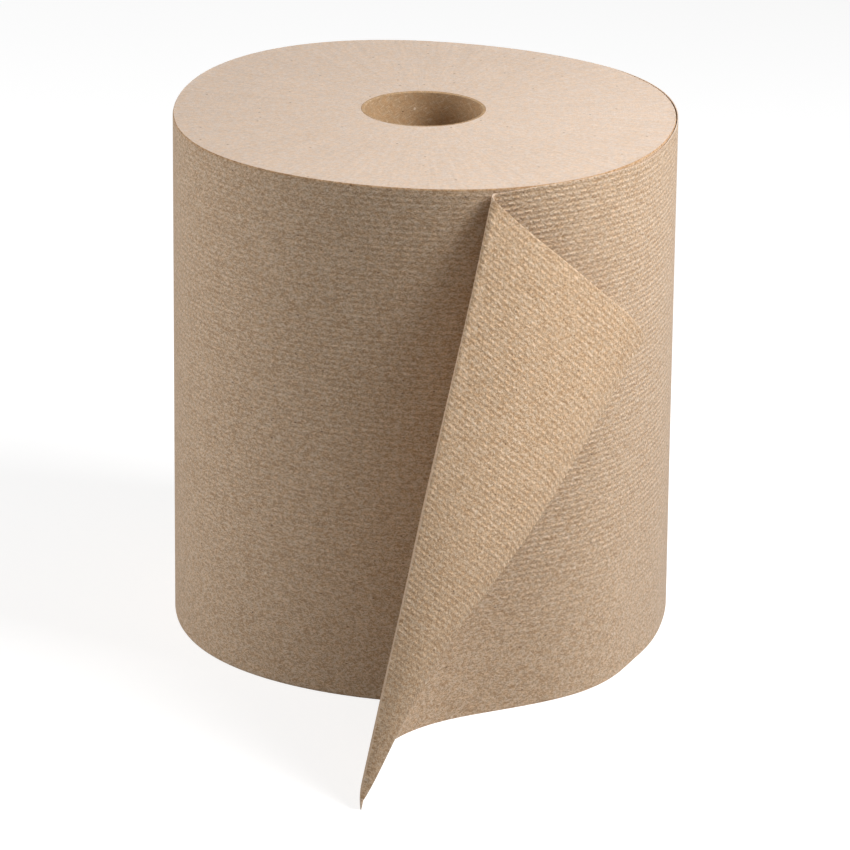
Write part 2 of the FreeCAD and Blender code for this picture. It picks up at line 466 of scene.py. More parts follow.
class TailSheet:
    """The middle of the loose sheet: lines of points across it, from the step to its cut end."""

    def __init__(self, sizes, downs):
        self.width = sizes.web_width
        self.half = sizes.sheet / 2.0
        self.wall = Wall(sizes)
        self.downs = downs
        self.stretches = []
        self.lay_on_wall()
        self.sweep_to_tip()
        self.rise_and_fold()
        self.fold_over()
        whole = [np.concatenate(part) for part in zip(*self.stretches)]
        self.tops, self.feet, self.flat_tops, self.flat_feet, self.over = whole

    def add_lines(self, tops, feet, flat_tops, flat_feet, over=None):
        """Takes a stretch of the sheet, without its first line where one is already there."""
        first = 1 if self.stretches else 0
        over = np.zeros(len(tops)) if over is None else over
        stretch = (tops, feet, flat_tops, flat_feet, over)
        self.stretches.append([part[first:] for part in stretch])

    def lay_top(self, tops):
        """Lays the next stretch of the top edge on the flat sheet."""
        along = self.head_length + lengths_along(tops)
        self.head_length = along[-1]
        return flat_places(along, self.width)

    def top_on_wall(self, foot, share):
        """The top edge keeps to the wall above its foot, and sinks a little under the rim."""
        angle = np.degrees(np.arctan2(foot[:, 1] - WINDING_SHIFT_Y, foot[:, 0]))
        sink = EDGE_SINK * bump_at(angle, SINK_ANGLE, SINK_SPREAD)
        sink += FOLD_SINK * bump_at(angle, FOOT_AT_FOLD[0], FOLD_SINK_SPREAD)
        stand = LOOSE_GAP * (1.0 - (1.0 - share) ** 4) + (FOLD_STAND - LOOSE_GAP) * share ** 8
        return self.wall.around(angle, stand - self.half, self.width - sink)

    def lay_on_wall(self):
        """From the step round to the fold."""
        plan = [(LOOSE_ANGLE, 0.0), *FOOT_ON_WALL, FOOT_AT_FOLD, *FOOT_TO_TIP]
        angles, stands = np.array(plan).T
        self.foot = SmoothCurve(self.wall.around(angles, stands - self.half, 0.0))
        self.corner = self.foot.knots[len(FOOT_ON_WALL) + 1]
        share = np.linspace(0.0, 1.0, WALL_LINES)
        feet = self.foot.at(share * self.corner)
        tops = self.top_on_wall(feet, share)
        along = (lengths_along(tops) + lengths_along(feet)) / 2.0
        self.head_length = along[-1]
        self.add_lines(tops, feet, flat_places(along, self.width), flat_places(along, 0.0))
        near_end = 1.0 - HEAD_STEP_BACK
        before = self.top_on_wall(self.foot.at(near_end * self.corner), np.array([near_end]))
        self.fold = FoldHead(tops[-1], before[0])

    def sweep_to_tip(self):
        """The foot sweeps forward over the floor while the top edge turns at the fold's head."""
        share = np.linspace(0.0, 1.0, SWEEP_LINES)
        feet = self.foot.at(self.corner + share * (self.foot.knots[-1] - self.corner))
        tops = self.fold.heads(share * FOLD_TURN_AT_TIP)
        along = self.head_length + lengths_along(feet)
        self.end_length = along[-1]
        self.tip = feet[-1]
        self.add_lines(tops, feet, self.lay_top(tops), flat_places(along, 0.0))

    def rise_and_fold(self):
        """Up the cut end to the foot of the fold, then round the fold."""
        rise = np.linspace(0.0, TIP_RISE, RISE_LINES)
        feet = self.tip + rise[:, None] * (0.0, 0.0, 1.0)
        tops = self.fold.heads(np.linspace(FOLD_TURN_AT_TIP, FOLD_TURN_AT_RISE, RISE_LINES))
        flat_feet = flat_places(self.end_length, rise)
        self.add_lines(tops, feet, self.lay_top(tops), flat_feet)
        turns = np.linspace(FOLD_TURN_AT_RISE, FOLD_TURN, ROUND_LINES)
        bends = self.fold.turned(turns, TIP_RADIUS)
        feet = feet[-1] + bends - bends[:1]
        tops = self.fold.heads(turns)
        flat_feet = np.tile(flat_feet[-1], (ROUND_LINES, 1))
        self.head, self.land = tops[-1], feet[-1]
        self.add_lines(tops, feet, self.lay_top(tops), flat_feet)

    def fold_over(self):
        """The folded-over corner, whose lines run from its top edge down to the tip."""
        plan = np.array([*FLAP_TOP, FLAP_CORNER])
        places = self.wall.around(plan[:, 0], plan[:, 1], self.width - plan[:, 2])
        edge = SmoothCurve([self.head, *places])
        over = np.linspace(0.0, 1.0, FLAP_LINES)
        tops = edge.at(over * edge.knots[-1])
        corner = tops[-1]
        leave = tops[1] - self.head
        tip = self.land + leave / np.linalg.norm(leave) * TIP_LAND
        feet = self.land + over[:, None] * (tip - self.land)
        down_cut = (tip - corner) / np.linalg.norm(tip - corner)
        inward = self.head - corner
        inward -= down_cut * np.dot(inward, down_cut)
        self.inward = inward / np.linalg.norm(inward)
        reach = self.end_length - self.head_length
        along = lengths_along(tops) / lengths_along(tops)[-1] * reach + self.head_length
        flat_feet = np.tile([self.end_length, TIP_RISE], (FLAP_LINES, 1))
        self.add_lines(tops, feet, flat_places(along, self.width), flat_feet, over)

    def middle(self):
        """All points as a grid of lines by steps down each line."""
        down = self.downs[None, :, None]
        sag = CUT_SAG * np.sin(math.pi * self.downs ** CUT_SAG_PLACE) ** 1.5
        points = self.tops[:, None] * (1.0 - down) + self.feet[:, None] * down
        return points + self.inward * (self.over[:, None] * sag[None, :])[:, :, None]

    def flat(self):
        """Each point's place on the sheet laid flat: along the web, and up across it."""
        down = self.downs[None, :, None]
        return self.flat_tops[:, None] * (1.0 - down) + self.flat_feet[:, None] * down

    def outward(self, points):
        """The sheet's outward direction at each point. The edge on the floor stays level."""
        along = np.gradient(points, axis=0)
        down = np.gradient(points, axis=1)
        ways = np.cross(along, down)
        turn = math.radians(LOOSE_ANGLE)
        ways[0] = (math.cos(turn), math.sin(turn), 0.0)
        folded = self.over > 0.0
        ways[folded, -1] = ways[folded, -2]
        on_floor = points[:, -1, 2] <= 0.0
        ways[on_floor, -1, 2] = 0.0
        return ways / np.linalg.norm(ways, axis=2, keepdims=True)

    def free_share(self):
        """How free each line of the sheet is: none on the wall, whole from the fold on."""
        return smooth_share((self.flat_feet[:, 0] - self.corner) / FREE_AFTER)


def put(name, data):
    """An object of this name in the scene."""
    piece = bpy.data.objects.new(name, data)
    bpy.context.scene.collection.objects.link(piece)
    return piece


class Skin:
    """Gathers the points and faces of one closed piece, with a flat place for each face corner."""

    def __init__(self):
        self.points, self.faces, self.places, self.finishes = [], [], [], []
        self.count = 0

    def add_points(self, points):
        """Adds a grid of points and gives their numbers as a grid of the same shape."""
        flat = np.asarray(points, float).reshape(-1, 3)
        numbers = np.arange(self.count, self.count + len(flat)).reshape(np.shape(points)[:-1])
        self.points.append(flat)
        self.count += len(flat)
        return numbers

    def add_grid(self, numbers, finish, places=None, flip=False):
        """Joins a grid of points with four-sided faces, which may have flat places."""
        places = np.zeros((*numbers.shape, 2)) if places is None else places

        def corners(grid):
            quad = [grid[:-1, :-1], grid[1:, :-1], grid[1:, 1:], grid[:-1, 1:]]
            quad = quad[::-1] if flip else quad
            return np.stack(quad, axis=2).reshape(-1, 4, *grid.shape[2:])

        faces = corners(numbers)
        self.faces.extend(faces.tolist())
        self.places.append(corners(places).reshape(-1, 2))
        self.finishes.append(np.full(len(faces), finish))

    def add_face(self, numbers, finish):
        """Adds one face with any number of corners."""
        self.faces.append([int(number) for number in numbers])
        self.places.append(np.zeros((len(numbers), 2)))
        self.finishes.append(np.array([finish]))

    def build(self, name, materials, sharp=50.0):
        """Makes the mesh object in the scene."""
        mesh = bpy.data.meshes.new(name)
        mesh.from_pydata(np.concatenate(self.points).tolist(), [], self.faces)
        for material in materials:
            mesh.materials.append(material)
        mesh.polygons.foreach_set("material_index", np.concatenate(self.finishes).astype(np.int32))
        mesh.polygons.foreach_set("use_smooth", np.ones(len(self.faces), bool))
        layer = mesh.uv_layers.new(name="flat sheet")
        layer.data.foreach_set("uv", np.concatenate(self.places).astype(np.float32).ravel())
        mesh.set_sharp_from_angle(angle=math.radians(sharp))
        mesh.update()
        if mesh.validate():
            raise RuntimeError(f"{name} has faces that Blender had to mend")
        return put(name, mesh)


class Wiring:
    """Adds nodes to one tree and joins them."""

    def __init__(self, tree):
        self.tree = tree

    def feed(self, socket, value):
        """Links a socket, or sets its plain value."""
        if isinstance(value, bpy.types.NodeSocket):
            self.tree.links.new(value, socket)
        else:
            socket.default_value = value

    def add(self, kind, inputs=(), **settings):
        """Adds a node, sets it up and feeds its named or numbered inputs."""
        node = self.tree.nodes.new(kind)
        for name, value in settings.items():
            setattr(node, name, value)
        for name, value in dict(inputs).items():
            self.feed(node.inputs[name], value)
        return node

    def math(self, operation, *values):
        """One sum on numbers."""
        return self.add("ShaderNodeMath", dict(enumerate(values)), operation=operation).outputs[0]

    def times(self, one, other):
        """One number multiplied by another."""
        return self.math("MULTIPLY", one, other)

    def blended(self, *parts):
        """The sum of some numbers, each with its weight."""
        total = 0.0
        for value, weight in parts:
            total = self.math("MULTIPLY_ADD", value, weight, total)
        return total

    def from_middle(self, value):
        """How far a number is from the middle between two whole ones."""
        part = self.math("SUBTRACT", self.math("FRACT", value), 0.5)
        return self.math("ABSOLUTE", part)

    def split(self, vector):
        """A vector's three numbers."""
        return self.add("ShaderNodeSeparateXYZ", {0: vector}).outputs

    def scaled(self, vector, scale):
        """A vector with each axis multiplied."""
        inputs = {0: vector, 1: scale}
        return self.add("ShaderNodeVectorMath", inputs, operation="MULTIPLY").outputs[0]

    def noise(self, vector, scale, detail=2.0, roughness=0.5):
        """A value of cloudy noise."""
        inputs = {"Vector": vector, "Scale": scale, "Detail": detail, "Roughness": roughness}
        return self.add("ShaderNodeTexNoise", inputs).outputs["Fac"]

    def step(self, value, low, high):
        """A soft step from 0 at low to 1 at high."""
        inputs = {"Value": value, "From Min": low, "From Max": high}
        node = self.add("ShaderNodeMapRange", inputs, interpolation_type="SMOOTHSTEP")
        return node.outputs["Result"]

    def fall(self, value, low, high):
        """A soft step from 1 at low to 0 at high."""
        return self.math("SUBTRACT", 1.0, self.step(value, low, high))

    def spread(self, value, low, high):
        """A value between 0 and 1 spread from low to high."""
        inputs = {"Value": value, "To Min": low, "To Max": high}
        return self.add("ShaderNodeMapRange", inputs).outputs["Result"]

    def mix(self, share, one, other, blend="MIX"):
        """A mix of two colours."""
        inputs = {0: share, 6: one, 7: other}
        return self.add("ShaderNodeMix", inputs, data_type="RGBA", blend_type=blend).outputs[2]

    def tinted(self, colour, tint):
        """A colour multiplied by another."""
        return self.mix(1.0, colour, tint, "MULTIPLY")

    def toned(self, colour, level):
        """A colour multiplied by a number."""
        grey = self.add("ShaderNodeCombineColor", {0: level, 1: level, 2: level}).outputs[0]
        return self.tinted(colour, grey)

    def group(self, name, make, inputs):
        """Places a shader group, which is made the first time it is asked for."""
        tree = bpy.data.node_groups.get(name) or make()
        return self.add("ShaderNodeGroup", inputs, node_tree=tree).outputs


def new_group(name, inputs, outputs):
    """Starts a shader group and gives its wiring, its inputs and its output node."""
    tree = bpy.data.node_groups.new(name, "ShaderNodeTree")
    for way, sockets in (("INPUT", inputs), ("OUTPUT", outputs)):
        for label, kind in sockets.items():
            tree.interface.new_socket(name=label, in_out=way, socket_type="NodeSocket" + kind)
    wiring = Wiring(tree)
    given = tree.nodes.new("NodeGroupInput").outputs
    return wiring, given, tree.nodes.new("NodeGroupOutput")


def paper_cells(wiring, place, counts):
    """Small cells of the paper: a random colour for each, and the distance from its middle."""
    inputs = {"Vector": wiring.scaled(place, counts), "Scale": 1.0}
    return wiring.add("ShaderNodeTexVoronoi", inputs, voronoi_dimensions="2D").outputs


def cell_level(wiring, cells):
    """A random number for each cell."""
    return wiring.add("ShaderNodeSeparateColor", {0: cells["Color"]}).outputs[0]


def loose_fibres(wiring, place, strokes):
    """A mask of short strokes in two headings."""
    masks = []
    for heading, counts, level in strokes:
        inputs = {"Vector": place, "Angle": heading}
        turned = wiring.add("ShaderNodeVectorRotate", inputs, rotation_type="Z_AXIS").outputs[0]
        noise = wiring.noise(wiring.scaled(turned, counts), 1.0, 1.5)
        masks.append(wiring.step(noise, level, level + FIBRE_EDGE))
    return wiring.math("MAXIMUM", *masks)


def specks(wiring, place, counts, size, share):
    """A mask of small spots in a share of the cells."""
    cells = paper_cells(wiring, place, counts)
    chosen = wiring.math("LESS_THAN", cell_level(wiring, cells), share)
    return wiring.times(chosen, wiring.fall(cells["Distance"], size * 0.5, size))


def kraft_fibres():
    """Cloudy, grainy paper with pale and dark fibres, small specks and a few pale flecks."""
    wiring, given, result = new_group(
        "Kraft fibres",
        {"Place": "Vector", "Paper": "Color", "Dark": "Color", "Light": "Color",
         "Contrast": "Float", "Fibres": "Float"},
        {"Color": "Color", "Height": "Float"},
    )
    place = given["Place"]
    clouds = wiring.noise(place, CLOUDS, 3.0, 0.6)
    laid = wiring.noise(wiring.scaled(place, LAID), 1.0, 4.0, 0.8)
    strokes = cell_level(wiring, paper_cells(wiring, place, STROKES))
    grains = cell_level(wiring, paper_cells(wiring, place, GRAINS))
    blend = wiring.blended((clouds, 0.12), (laid, 0.18), (strokes, 0.36), (grains, 0.34))
    away = wiring.math("SUBTRACT", blend, 0.5)
    share = wiring.math("MULTIPLY_ADD", away, given["Contrast"], 0.5)
    brown = wiring.tinted(given["Paper"], BROWN_TINT)
    pale = wiring.tinted(given["Paper"], PALE_TINT)
    hue = wiring.step(wiring.noise(place, HUES, 3.0, 0.7), 0.38, 0.62)
    colour = wiring.tinted(wiring.mix(share, brown, pale), wiring.mix(hue, WARM_TINT, COOL_TINT))
    for name, strength, kinds in LOOSE_FIBRES:
        shown = wiring.times(given["Fibres"], strength)
        mask = wiring.times(loose_fibres(wiring, place, kinds), shown)
        colour = wiring.mix(mask, colour, given[name])
    for name, strength, counts, size, amount in SPECKS:
        mask = wiring.times(specks(wiring, place, counts, size, amount), strength)
        colour = wiring.mix(mask, colour, given[name])
    tooth = wiring.noise(place, TOOTH, 2.0, 0.8)
    wiring.feed(result.inputs["Color"], colour)
    height = wiring.blended((tooth, 0.35), (laid, 0.55), (strokes, 0.12))
    wiring.feed(result.inputs["Height"], height)
    return wiring.tree


def embossed_rows():
    """Rows of short dashes along the web, staggered from row to row and unevenly worn."""
    wiring, given, result = new_group(
        "Embossed rows",
        {"Place": "Vector", "Row pitch": "Float", "Dash pitch": "Float", "Wander": "Float"},
        {"Ridge": "Float", "Crease": "Float"},
    )
    place = given["Place"]
    sway = wiring.math("SUBTRACT", wiring.noise(place, ROW_SWAYS, 2.0), 0.5)
    sway = wiring.times(sway, given["Wander"])
    split = wiring.split(place)
    rows = wiring.math("DIVIDE", wiring.math("ADD", split[1], sway), given["Row pitch"])
    odd_row = wiring.math("MODULO", wiring.math("ABSOLUTE", wiring.math("FLOOR", rows)), 2.0)
    swayed = wiring.math("MULTIPLY_ADD", sway, SWAY_ALONG, split[0])
    dashes = wiring.math("DIVIDE", swayed, given["Dash pitch"])
    dashes = wiring.math("MULTIPLY_ADD", odd_row, 0.5, dashes)
    across, along = wiring.from_middle(rows), wiring.from_middle(dashes)
    wear = wiring.step(wiring.noise(wiring.scaled(place, WORN_PATCHES), 1.0, 2.0), 0.34, 0.60)
    shown = wiring.times(wiring.fall(along, *DASH_END), wiring.spread(wear, 0.30, 1.0))
    ridge, crease = wiring.fall(across, *RIDGE_EDGE), wiring.step(across, *CREASE_EDGE)
    wiring.feed(result.inputs["Ridge"], wiring.times(ridge, shown))
    wiring.feed(result.inputs["Crease"], wiring.times(crease, shown))
    return wiring.tree


def turned_noise():
    """Noise that runs out from the axis as streaks and round it as fine rings."""
    wiring, given, result = new_group(
        "Turned noise",
        {"Place": "Vector", "Streaks": "Float", "Rings": "Float"},
        {"Streak": "Float", "Ring": "Float"},
    )
    flat = wiring.scaled(given["Place"], (1.0, 1.0, 0.0))
    reach = wiring.add("ShaderNodeVectorMath", {0: flat}, operation="LENGTH").outputs["Value"]
    heading = wiring.add("ShaderNodeVectorMath", {0: flat}, operation="NORMALIZE").outputs[0]
    split = wiring.split(heading)
    for name, around, out, roughness in (
        ("Streak", given["Streaks"], STREAKS_OUT, 0.6), ("Ring", RINGS_ROUND, given["Rings"], 0.7),
    ):
        inputs = {0: wiring.times(split[0], around), 1: wiring.times(split[1], around),
                  2: wiring.times(reach, out)}
        place = wiring.add("ShaderNodeCombineXYZ", inputs).outputs[0]
        wiring.feed(result.inputs[name], wiring.noise(place, 1.0, 3.0, roughness))
    return wiring.tree


def new_material(name, roughness):
    """A material with its wiring and its Principled shader."""
    material = bpy.data.materials.new(name)
    material.use_nodes = True
    wiring = Wiring(material.node_tree)
    shader = material.node_tree.nodes["Principled BSDF"]
    shader.inputs["Specular IOR Level"].default_value = 0.25
    shader.inputs["Roughness"].default_value = roughness
    return material, wiring, shader


def bumped(wiring, shader, height, depth):
    """Feeds a height to the shader's normal."""
    bump = wiring.add("ShaderNodeBump", {"Height": height, "Distance": depth, "Strength": 1.0})
    wiring.feed(shader.inputs["Normal"], bump.outputs["Normal"])


def fibre_group(wiring, place, finish, paper, contrast, fibres):
    """Places the fibre group with this roll's own fibre colours."""
    inputs = {"Place": place, "Paper": paper, "Dark": tuple(finish.dark_fibre),
              "Light": tuple(finish.light_fibre), "Contrast": contrast, "Fibres": fibres}
    return wiring.group("Kraft fibres", kraft_fibres, inputs)


def embossed_paper(name, finish, sizes, paper, press, tip_painted_shade):
    """A face of the web: unbleached paper with rows of dashes, firmer where the web is loose."""
    material, wiring, shader = new_material(name, 0.92)
    place = wiring.add("ShaderNodeUVMap", uv_map="flat sheet").outputs["UV"]
    along, up, _ = wiring.split(place)
    fibres = fibre_group(wiring, place, finish, tuple(paper), 2.5, 1.0)
    rows = wiring.group("Embossed rows", embossed_rows, {
        "Place": place, "Row pitch": finish.row_pitch, "Dash pitch": finish.dash_pitch,
        "Wander": ROW_WANDER,
    })
    loose = wiring.step(along, *LOOSE_FROM)
    firm = wiring.spread(loose, press * WOUND_PRESS, press)
    patch = wiring.spread(wiring.noise(place, PRESS_PATCHES, 2.0), 0.4, 1.5)
    faded = wiring.spread(wiring.step(up, *ROWS_FADE_IN), 0.22, 1.0)
    firm = wiring.times(wiring.times(firm, patch), faded)
    ridge, crease = wiring.times(rows["Ridge"], firm), wiring.times(rows["Crease"], firm)
    height = wiring.blended((ridge, 1.0), (crease, -0.5), (fibres["Height"], 0.6))
    bumped(wiring, shader, height, finish.emboss_depth)
    # Painted highlight and painted shade on the dashes: the colour is lifted on the ridges, dimmed
    # between them, and darkened and browned in the creases
    lit = wiring.toned(fibres["Color"], wiring.spread(ridge, 0.93, 1.20))
    lit = wiring.mix(wiring.times(crease, 0.8), lit, wiring.tinted(lit, CREASE_PAINTED_SHADE_TINT))
    # Painted shade: the face is darkened towards the foot of the flat sheet, which on the inner
    # face darkens the folded corner's lower part and tip
    painted_tip_shade = wiring.spread(wiring.step(up, *TIP_PAINTED_SHADE_REACH), tip_painted_shade, 1.0)
    lit = wiring.toned(lit, painted_tip_shade)
    rim = wiring.step(up, sizes.web_width - RIM_LINE[0], sizes.web_width - RIM_LINE[1])
    rim = wiring.times(rim, wiring.math("SUBTRACT", 1.0, loose))
    wiring.feed(shader.inputs["Base Color"], wiring.mix(rim, lit, wiring.tinted(lit, RIM_TINT)))
    shader.inputs["Sheen Weight"].default_value = 0.20
    shader.inputs["Sheen Roughness"].default_value = 0.5
    return material


def wound_end_paper(finish):
    """The cut ends of hundreds of turns: pale, finely grained, with faint streaks and rings."""
    material, wiring, shader = new_material("wound paper ends", 0.62)
    place = wiring.add("ShaderNodeTexCoord").outputs["Object"]
    fibres = fibre_group(wiring, place, finish, tuple(finish.wound_end), 0.75, 0.10)
    turned = wiring.group("Turned noise", turned_noise, {
        "Place": place, "Streaks": STREAKS_ROUND, "Rings": RINGS_OUT,
    })
    streaks = wiring.spread(turned["Streak"], 0.88, 1.10)
    rings = wiring.spread(turned["Ring"], 0.95, 1.05)
    colour = wiring.toned(fibres["Color"], wiring.times(streaks, rings))
    wiring.feed(shader.inputs["Base Color"], colour)
    height = wiring.blended((turned["Ring"], 0.6), (fibres["Height"], 0.4))
    bumped(wiring, shader, height, END_GRAIN_DEPTH)
    shader.inputs["Anisotropic"].default_value = 0.6
    tangent = wiring.add("ShaderNodeTangent", direction_type="RADIAL", axis="Z")
    wiring.feed(shader.inputs["Tangent"], tangent.outputs[0])
    return material


def cut_edge_paper(finish):
    """The sheet's thin cut edges, paler than its faces."""
    material, wiring, shader = new_material("paper cut edge", 0.9)
    place = wiring.add("ShaderNodeTexCoord").outputs["Object"]
    fibres = fibre_group(wiring, place, finish, tuple(finish.wound_end), 0.6, 0.4)
    wiring.feed(shader.inputs["Base Color"], fibres["Color"])
    return material


def core_board(finish):
    """The core's paperboard, in plain kraft with faint laid lines."""
    material, wiring, shader = new_material("core paperboard", 0.8)
    place = wiring.add("ShaderNodeUVMap", uv_map="flat sheet").outputs["UV"]
    fibres = fibre_group(wiring, place, finish, tuple(finish.board), 0.9, 0.6)
    wiring.feed(shader.inputs["Base Color"], fibres["Color"])
    bumped(wiring, shader, fibres["Height"], BOARD_GRAIN_DEPTH)
    return material


def rows_down(sizes):
    """Shares down the web, with narrow rows near both edges."""
    edge = np.array(EDGE_ROWS) / sizes.web_width
    first = EVEN_ROWS_FROM / sizes.web_width
    between = np.linspace(first, 1.0 - first, sizes.web_steps)
    return np.concatenate([edge, between, 1.0 - edge[::-1]])


def winding_wall(sizes, downs):
    """The wall of the wound web over one turn, with its places on the flat sheet."""
    wall = Wall(sizes)
    share = np.linspace(0.0, 1.0, sizes.around_steps + 1)
    angle = LOOSE_ANGLE - 360.0 * share
    outline = wall.around(angle, sizes.sheet * (share - 1.0), 0.0)
    heights = sizes.web_width * (1.0 - downs)
    points = np.repeat(outline[:, None], len(downs), axis=1)
    points[:, :, 2] = heights
    turn = np.radians(angle)
    inward = np.stack([-np.cos(turn), -np.sin(turn), np.zeros_like(turn)], axis=-1)
    edge_distance = np.minimum(downs, 1.0 - downs) * sizes.web_width
    tuck = sizes.rim_rounding * np.clip(1.0 - edge_distance / RIM_REACH, 0.0, 1.0) ** 2
    from_step = np.minimum(share, 1.0 - share) * 360.0
    fade = np.clip(from_step / RIM_FADE, 0.0, 1.0)
    points += inward[:, None] * (fade[:, None] * tuck[None, :])[:, :, None]
    run = lengths_along(outline)
    return points, flat_places((run - run[-1])[:, None], heights[None, :])


def wound_end(skin, sizes, rim, height, facing, seed):
    """One flat end of the wound web, from its rim in to the core. Gives the hole's edge."""
    columns = sizes.around_steps
    shares = np.array([*END_RINGS, *np.linspace(EVEN_RINGS_FROM, 1.0, EVEN_RINGS)])
    angle = np.radians(LOOSE_ANGLE - 360.0 * np.arange(columns) / columns)
    outline = Wall(sizes).around(np.degrees(angle), 0.0, height)[:, :2]
    seat = np.stack([np.cos(angle), np.sin(angle)], axis=-1) * sizes.seat_radius
    share = shares[1:, None, None]
    flat = outline[None] * (1.0 - share) + seat[None] * share
    reach = np.linalg.norm(flat, axis=2)
    dip = soft_noise(flat[:, :, 0] / END_WAVE, flat[:, :, 1] / END_WAVE, seed)
    drift = soft_noise(reach / RING_DRIFT, reach * 0.0, seed + 1)
    dip += RING_WAVE_SHARE * np.sin(reach / RING_WAVE + drift)
    dip = END_MEAN_DIP + END_WAVE_SHARE * np.clip(dip, -END_WAVE_LIMIT, END_WAVE_LIMIT)
    from_edge = np.minimum(share[:, :, 0], 1.0 - share[:, :, 0])
    depth = sizes.end_unevenness * dip * np.clip(from_edge / EVEN_RINGS_FROM, 0.0, 1.0)
    heights = height - facing * depth
    numbers = skin.add_points(np.concatenate([flat, heights[:, :, None]], axis=2))
    closed = np.concatenate([numbers, numbers[:, :1]], axis=1)
    turned = facing > 0.0
    skin.add_grid(closed.T, WOUND_END, flip=turned)
    first = np.stack([rim[:-1], closed[0, :-1]], axis=1)
    skin.add_grid(first, WOUND_END, flip=turned)
    last = [rim[-2], rim[-1], rim[0], closed[0, -1], closed[0, -2]]
    skin.add_face(last[::-1] if turned else last, WOUND_END)
    return closed[-1]


def wound_web(sizes, materials):
    """The web: its wound turns and its loose tail in one closed skin."""
    downs = rows_down(sizes)
    skin = Skin()
    points, flat = winding_wall(sizes, downs)
    wall = skin.add_points(points)
    skin.add_grid(wall, OUTER_FACE, flat)
    top_hole = wound_end(skin, sizes, wall[:, 0], sizes.web_width, 1.0, TOP_SEED)
    low_hole = wound_end(skin, sizes, wall[:, -1], 0.0, -1.0, FOOT_SEED)
    hole = np.stack([top_hole, low_hole], axis=1)
    skin.add_grid(hole, WOUND_END, flip=True)

    tail = TailSheet(sizes, downs)
    middle, places = tail.middle(), tail.flat()
    ways = tail.outward(middle)
    waves = soft_noise(*(places / TAIL_WAVE).transpose(2, 0, 1), TAIL_WAVE_SEED)
    between = np.sin(math.pi * np.clip(downs * 1.25, 0.0, 1.0)) ** 0.5
    over = tail.over[:, None]
    belly = np.sin(math.pi * over) * np.sin(math.pi * downs ** 0.6) ** 0.7
    lift = over ** 1.4 * np.sin(math.pi * downs ** 1.3)
    stand = sizes.tail_waves * waves * tail.free_share()[:, None] * between
    stand -= sizes.corner_belly * belly + sizes.cut_end_lift * lift
    middle = middle + ways * stand[:, :, None]
    half = sizes.sheet / 2.0
    outer = np.concatenate([wall[-1:], skin.add_points(middle[1:] + ways[1:] * half)])
    inner = np.concatenate([wall[:1], skin.add_points(middle[1:] - ways[1:] * half)])
    skin.add_grid(outer, OUTER_FACE, places)
    skin.add_grid(inner, INNER_FACE, places, flip=True)
    top_edge = np.stack([inner[:, 0], outer[:, 0]], axis=1)
    low_edge = np.stack([outer[:, -1], inner[:, -1]], axis=1)
    cut_end = np.stack([inner[-1, ::-1], outer[-1, ::-1]], axis=0)
    for edge in (top_edge, low_edge, cut_end):
        skin.add_grid(edge, CUT_EDGE)
    return skin.build("towel_web", materials)


class TOWEL_OT_web(bpy.types.Operator):
    """Build the wound web with its loose tail and folded-over corner"""

    bl_idname = "towel.web"
    bl_label = "Wound web and tail"

    def execute(self, context):
        sizes, finish = context.scene.towel_sizes, context.scene.towel_finish
        materials = [
            embossed_paper("outer face of the web", finish, sizes, finish.paper,
                           OUTER_PRESS, 1.0),
            embossed_paper("inner face of the web", finish, sizes, finish.paper_inside,
                           INNER_PRESS, INNER_TIP_PAINTED_SHADE),
            wound_end_paper(finish),
            cut_edge_paper(finish),
        ]
        web = wound_web(sizes, materials)
        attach(web, "root")
        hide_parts("wound_towel")
        return {"FINISHED"}


def tube_profile(sizes):
    """The board's section: radius and height, round from the bore's foot up and back down."""
    bore, seat, top = sizes.bore_radius, sizes.seat_radius, sizes.web_width
    rise = np.linspace(TUBE_EASE * 2.0, top - TUBE_EASE * 2.0, TUBE_ROWS)
    inner = np.stack([np.full(TUBE_ROWS, bore), rise], axis=-1)
    rim = np.array([
        [bore, top - TUBE_EASE], [bore + TUBE_EASE, top],
        [seat - TUBE_EASE * 0.5, top], [seat, top - TUBE_EASE],
    ])
    outer = np.array([[seat, top / 2.0]])
    foot = rim[::-1] * (1.0, -1.0) + (0.0, top)
    return np.concatenate([inner, rim, outer, foot])


def core_tube(sizes, material):
    """The core: a tube of spirally wound board, whose inner ply meets in a shallow seam."""
    profile = tube_profile(sizes)
    angle = np.linspace(0.0, math.tau, TUBE_STEPS + 1)
    turn = angle[:-1, None]
    height = np.repeat(profile[None, :, 1], TUBE_STEPS, axis=0)
    along = (height / SEAM_PITCH + turn / math.tau) % 1.0
    seam = np.exp(-((along - 0.5) / SEAM_SPREAD) ** 2)
    on_bore = profile[:, 0] <= sizes.bore_radius + 1e-6
    radius = profile[:, 0] + SEAM_DEPTH * seam * on_bore
    skin = Skin()
    ring = np.stack([radius * np.cos(turn), radius * np.sin(turn), height], axis=-1)
    numbers = skin.add_points(ring)
    closed = np.concatenate([numbers, numbers[:1]])
    closed = np.concatenate([closed, closed[:, :1]], axis=1)
    rise = np.append(profile[:, 1], profile[0, 1])
    flat = flat_places(angle[:, None] * sizes.bore_radius, rise[None, :])
    skin.add_grid(closed, 0, flat, flip=True)
    return skin.build("core_board_tube", [material])


class TOWEL_OT_core(bpy.types.Operator):
    """Build the core tube of wound paperboard"""

    bl_idname = "towel.core"
    bl_label = "Core tube"

    def execute(self, context):
        tube = core_tube(context.scene.towel_sizes, core_board(context.scene.towel_finish))
        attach(tube, "root")
        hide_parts("core_tube")
        return {"FINISHED"}


